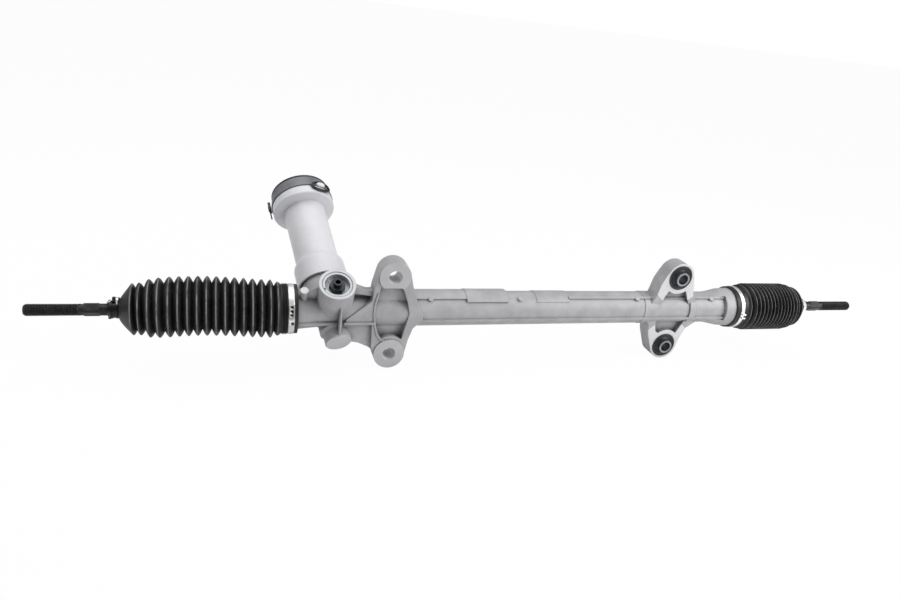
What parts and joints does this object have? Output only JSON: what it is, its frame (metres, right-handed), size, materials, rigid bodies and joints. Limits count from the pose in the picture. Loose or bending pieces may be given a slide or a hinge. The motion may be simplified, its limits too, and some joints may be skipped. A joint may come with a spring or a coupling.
{
  "type": "steering rack",
  "caption": "Steering rack: toothed bar in a cast housing with four ears, sprung yoke, helical pinion under a plastic cover, ball-jointed tie rods and rubber bellows.",
  "frame": {"origin": "on the rack's axis, midway between the four mounting holes", "axes": "+X along the rack, away from the pinion end; -Y along the mounting bolts towards the subframe; +Z square to both, on the side of the upper ears"},
  "size_m": [1.1725, 0.2528, 0.204],
  "materials": {
    "cast_aluminium": "satin casting",
    "rack_steel": "ground",
    "bush_plastic": "matte",
    "retainer_steel": "pressed",
    "bump_plastic": "matte",
    "yoke_aluminium": "machined",
    "liner_plastic": "matte",
    "seal_rubber": "matte",
    "spring_steel": "oiled",
    "plug_steel": "machined",
    "adjuster_steel": "blackened",
    "pinion_steel": "ground",
    "bearing_steel": "polished",
    "nut_steel": "machined",
    "cover_plastic": "moulded",
    "cover_rubber": "moulded",
    "strap_plastic": "moulded",
    "socket_steel": "forged",
    "seat_plastic": "matte",
    "rod_steel": "black satin",
    "boot_rubber": "glossy black",
    "clamp_steel": "bright",
    "clip_steel": "black",
    "clip_light": "bright zinc",
    "bushing_steel": "zinc",
    "bushing_rubber": "matte"
  },
  "bodies": {
    "housing": {"rack_housing": "cast_aluminium", "rack_bush": "bush_plastic", "bush_ring": "retainer_steel", "yoke": "yoke_aluminium", "yoke_liner": "liner_plastic", "yoke_oring": "seal_rubber", "yoke_spring": "spring_steel", "yoke_plug": "plug_steel", "yoke_adjuster": "adjuster_steel", "bearing_outer": "bearing_steel", "bearing_balls": "bearing_steel", "needle_cup": "retainer_steel", "needles": "bearing_steel", "pinion_nut": "nut_steel", "pinion_seal": "seal_rubber", "pinion_cover": "cover_plastic", "cover_seal": "cover_rubber", "cover_pin": "cover_plastic", "cover_strap": "strap_plastic", "cover_clip": "strap_plastic", "boot_left": "boot_rubber", "boot_right": "boot_rubber", "boot_clamp_left": "clamp_steel", "boot_clamp_right": "clamp_steel", "bushing_shell_upper": "bushing_steel", "bushing_shell_lower": "bushing_steel", "bushing_rubber_upper": "bushing_rubber", "bushing_rubber_lower": "bushing_rubber", "bushing_core_upper": "bushing_steel", "bushing_core_lower": "bushing_steel"},
    "rack": {"rack_bar": "rack_steel", "ball_socket_left": "socket_steel", "ball_socket_right": "socket_steel", "bump_stop_left": "bump_plastic", "bump_stop_right": "bump_plastic"},
    "pinion": {"pinion_shaft": "pinion_steel", "bearing_inner": "bearing_steel"},
    "left_ball_seat": {"ball_seat_left": "seat_plastic"},
    "left_tie_rod": {"tie_rod_left": "rod_steel", "boot_clip_left": "clip_steel"},
    "right_ball_seat": {"ball_seat_right": "seat_plastic"},
    "right_tie_rod": {"tie_rod_right": "rod_steel", "boot_clip_right": "clip_light"}
  },
  "joints": [
    {"name": "rack_slide", "type": "slide", "parent": "housing", "child": "rack", "axis": [1, 0, 0], "range_m": [-0.042, 0.102], "deforming": ["boot_left", "boot_right"]},
    {"name": "pinion_turn", "type": "hinge", "parent": "housing", "child": "pinion", "pos_m": [-0.279, 0.00874, -0.01399], "axis": [-0.1437, 0.8393, 0.5244], "range_deg": [-312.8, 758.3]},
    {"name": "left_tie_lift", "type": "hinge", "parent": "rack", "child": "left_ball_seat", "pos_m": [-0.4653, 0, 0], "axis": [0, 0, 1], "range_deg": [-18, 18]},
    {"name": "left_tie_sweep", "type": "hinge", "parent": "left_ball_seat", "child": "left_tie_rod", "pos_m": [-0.4653, 0, 0], "axis": [0, 1, 0], "range_deg": [-18, 18]},
    {"name": "right_tie_lift", "type": "hinge", "parent": "rack", "child": "right_ball_seat", "pos_m": [0.3892, 0, 0], "axis": [0, 0, 1], "range_deg": [-18, 18]},
    {"name": "right_tie_sweep", "type": "hinge", "parent": "right_ball_seat", "child": "right_tie_rod", "pos_m": [0.3892, 0, 0], "axis": [0, 1, 0], "range_deg": [-18, 18]}
  ],
  "couplings": [
    {"joint": "pinion_turn", "follows": "rack_slide", "rad_per_m": 129.58}
  ]
}
